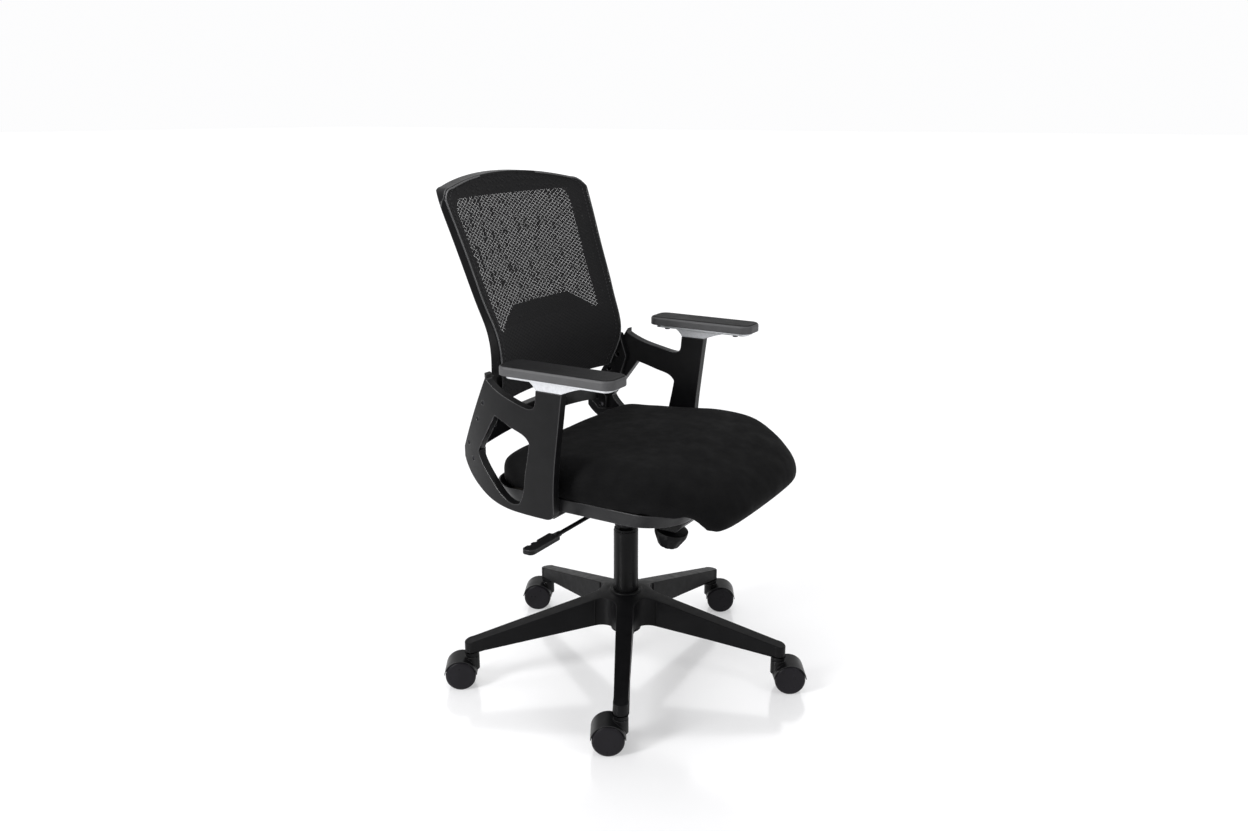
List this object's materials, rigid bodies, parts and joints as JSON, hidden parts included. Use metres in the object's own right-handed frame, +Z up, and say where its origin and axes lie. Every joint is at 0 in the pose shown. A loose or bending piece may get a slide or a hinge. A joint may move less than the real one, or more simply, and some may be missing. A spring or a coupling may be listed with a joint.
{
  "type": "swivel office chair",
  "caption": "Office chair with a mesh back, upholstered seat, wrap-round fixed arms, gas lift, tilt mechanism and a five-star base on twin-wheel casters.",
  "frame": {"origin": "on the floor under the gas column", "axes": "+Z up, the seat faces -Y, the sitter's right hand is on -X"},
  "size_m": [0.7187, 0.7252, 0.998],
  "materials": {
    "moulded_nylon": "satin black moulded nylon",
    "wheel_nylon": "satin black nylon tread wheel with a smooth face",
    "bright_steel": "zinc plated steel",
    "column_enamel": "satin black enamel on steel tube",
    "black_steel": "black painted steel",
    "satin_bracket": "satin silver",
    "pad_skin": "soft-touch black polyurethane skin",
    "seat_fabric": "fine black woven cloth over foam",
    "back_knit": "charcoal stretched knit mesh",
    "plywood": "bare plywood"
  },
  "bodies": {
    "base": {"base_star": "moulded_nylon", "column_tube": "column_enamel", "column_bushing": "moulded_nylon", "thrust_bearing": "bright_steel"},
    "rod": {"piston_rod": "bright_steel", "rod_clip": "bright_steel"},
    "lift": {"gas_cylinder": "black_steel", "tilt_housing": "black_steel", "tilt_shaft": "bright_steel", "tilt_spring": "black_steel"},
    "valve": {"valve_pin": "bright_steel"},
    "tension": {"tension_bolt": "bright_steel", "tension_knob": "moulded_nylon"},
    "lever_block": {"lever_block": "moulded_nylon"},
    "lever": {"lever_rod": "black_steel", "lever_paddle": "moulded_nylon"},
    "seat": {"tilt_plate": "black_steel", "seat_pan": "moulded_nylon", "seat_board": "plywood", "seat_cushion": "seat_fabric", "seat_screws": "bright_steel", "arm_foot_screws": "bright_steel", "arm_screws": "bright_steel", "arm_frame_right": "moulded_nylon", "arm_frame_left": "moulded_nylon", "arm_bracket_right": "satin_bracket", "arm_bracket_left": "satin_bracket", "arm_pad_right": "pad_skin", "arm_pad_left": "pad_skin", "back_frame": "moulded_nylon", "back_mesh": "back_knit", "back_carrier": "moulded_nylon", "back_screws": "bright_steel"},
    "lumbar": {"lumbar_support": "moulded_nylon"},
    "caster_front": {"caster_front_hood": "moulded_nylon", "caster_front_stem": "bright_steel", "caster_front_axle": "bright_steel"},
    "wheel_front_a": {"caster_front_wheel_a": "wheel_nylon"},
    "wheel_front_b": {"caster_front_wheel_b": "wheel_nylon"},
    "caster_right": {"caster_right_hood": "moulded_nylon", "caster_right_stem": "bright_steel", "caster_right_axle": "bright_steel"},
    "wheel_right_a": {"caster_right_wheel_a": "wheel_nylon"},
    "wheel_right_b": {"caster_right_wheel_b": "wheel_nylon"},
    "caster_back_right": {"caster_back_right_hood": "moulded_nylon", "caster_back_right_stem": "bright_steel", "caster_back_right_axle": "bright_steel"},
    "wheel_back_right_a": {"caster_back_right_wheel_a": "wheel_nylon"},
    "wheel_back_right_b": {"caster_back_right_wheel_b": "wheel_nylon"},
    "caster_back_left": {"caster_back_left_hood": "moulded_nylon", "caster_back_left_stem": "bright_steel", "caster_back_left_axle": "bright_steel"},
    "wheel_back_left_a": {"caster_back_left_wheel_a": "wheel_nylon"},
    "wheel_back_left_b": {"caster_back_left_wheel_b": "wheel_nylon"},
    "caster_left": {"caster_left_hood": "moulded_nylon", "caster_left_stem": "bright_steel", "caster_left_axle": "bright_steel"},
    "wheel_left_a": {"caster_left_wheel_a": "wheel_nylon"},
    "wheel_left_b": {"caster_left_wheel_b": "wheel_nylon"}
  },
  "joints": [
    {"name": "seat_swivel", "type": "hinge", "parent": "base", "child": "rod", "pos_m": [0, 0, 0.1], "axis": [0, 0, 1], "continuous": true},
    {"name": "seat_height", "type": "slide", "parent": "rod", "child": "lift", "axis": [0, 0, 1], "range_m": [0, 0.1]},
    {"name": "seat_tilt", "type": "hinge", "parent": "lift", "child": "seat", "pos_m": [0, -0.05, 0.368], "axis": [-1, 0, 0], "range_deg": [0, 12], "stiffness_Nm_per_rad": 90, "springref_deg": -22.92},
    {"name": "tension_turn", "type": "hinge", "parent": "lift", "child": "tension", "pos_m": [0, -0.108, 0.334], "axis": [0, -0.2079, 0.9781], "range_deg": [-720, 720]},
    {"name": "lever_lift", "type": "hinge", "parent": "lift", "child": "lever_block", "pos_m": [-0.044, -0.01, 0.378], "axis": [0, 1, 0], "range_deg": [0, 4], "stiffness_Nm_per_rad": 4, "springref_deg": -11.46},
    {"name": "lever_pull", "type": "slide", "parent": "lever_block", "child": "lever", "axis": [-1, 0, 0], "range_m": [0, 0.012]},
    {"name": "valve_press", "type": "slide", "parent": "lift", "child": "valve", "axis": [0, 0, -1], "range_m": [0, 0.0032], "stiffness_N_per_m": 200, "springref_m": -0.003},
    {"name": "lumbar_height", "type": "slide", "parent": "seat", "child": "lumbar", "axis": [0, 0, 1], "range_m": [-0.015, 0.015]},
    {"name": "caster_front_swivel", "type": "hinge", "parent": "base", "child": "caster_front", "pos_m": [-0.27933, -0.15612, 0.06], "axis": [0, 0, 1], "continuous": true},
    {"name": "wheel_front_a_roll", "type": "hinge", "parent": "caster_front", "child": "wheel_front_a", "pos_m": [-0.29092, -0.13683, 0.03], "axis": [-0.8572, -0.515, 0], "continuous": true},
    {"name": "wheel_front_b_roll", "type": "hinge", "parent": "caster_front", "child": "wheel_front_b", "pos_m": [-0.29092, -0.13683, 0.03], "axis": [-0.8572, -0.515, 0], "continuous": true},
    {"name": "caster_right_swivel", "type": "hinge", "parent": "base", "child": "caster_right", "pos_m": [0.06216, -0.31391, 0.06], "axis": [0, 0, 1], "continuous": true},
    {"name": "wheel_right_a_roll", "type": "hinge", "parent": "caster_right", "child": "wheel_right_a", "pos_m": [0.07374, -0.33319, 0.03], "axis": [0.8572, 0.515, 0], "continuous": true},
    {"name": "wheel_right_b_roll", "type": "hinge", "parent": "caster_right", "child": "wheel_right_b", "pos_m": [0.07374, -0.33319, 0.03], "axis": [0.8572, 0.515, 0], "continuous": true},
    {"name": "caster_back_right_swivel", "type": "hinge", "parent": "base", "child": "caster_back_right", "pos_m": [0.31775, -0.03789, 0.06], "axis": [0, 0, 1], "continuous": true},
    {"name": "wheel_back_right_a_roll", "type": "hinge", "parent": "caster_back_right", "child": "wheel_back_right_a", "pos_m": [0.32866, -0.05757, 0.03], "axis": [0.8746, 0.4848, 0], "continuous": true},
    {"name": "wheel_back_right_b_roll", "type": "hinge", "parent": "caster_back_right", "child": "wheel_back_right_b", "pos_m": [0.32866, -0.05757, 0.03], "axis": [0.8746, 0.4848, 0], "continuous": true},
    {"name": "caster_back_left_swivel", "type": "hinge", "parent": "base", "child": "caster_back_left", "pos_m": [0.13423, 0.29049, 0.06], "axis": [0, 0, 1], "continuous": true},
    {"name": "wheel_back_left_a_roll", "type": "hinge", "parent": "caster_back_left", "child": "wheel_back_left_a", "pos_m": [0.12366, 0.31035, 0.03], "axis": [-0.8829, -0.4695, 0], "continuous": true},
    {"name": "wheel_back_left_b_roll", "type": "hinge", "parent": "caster_back_left", "child": "wheel_back_left_b", "pos_m": [0.12366, 0.31035, 0.03], "axis": [-0.8829, -0.4695, 0], "continuous": true},
    {"name": "caster_left_swivel", "type": "hinge", "parent": "base", "child": "caster_left", "pos_m": [-0.23479, 0.21742, 0.06], "axis": [0, 0, 1], "continuous": true},
    {"name": "wheel_left_a_roll", "type": "hinge", "parent": "caster_left", "child": "wheel_left_a", "pos_m": [-0.24738, 0.23608, 0.03], "axis": [-0.829, -0.5592, 0], "continuous": true},
    {"name": "wheel_left_b_roll", "type": "hinge", "parent": "caster_left", "child": "wheel_left_b", "pos_m": [-0.24738, 0.23608, 0.03], "axis": [-0.829, -0.5592, 0], "continuous": true}
  ],
  "couplings": [
    {"joint": "valve_press", "follows": "lever_lift", "m_per_rad": 0.044}
  ]
}
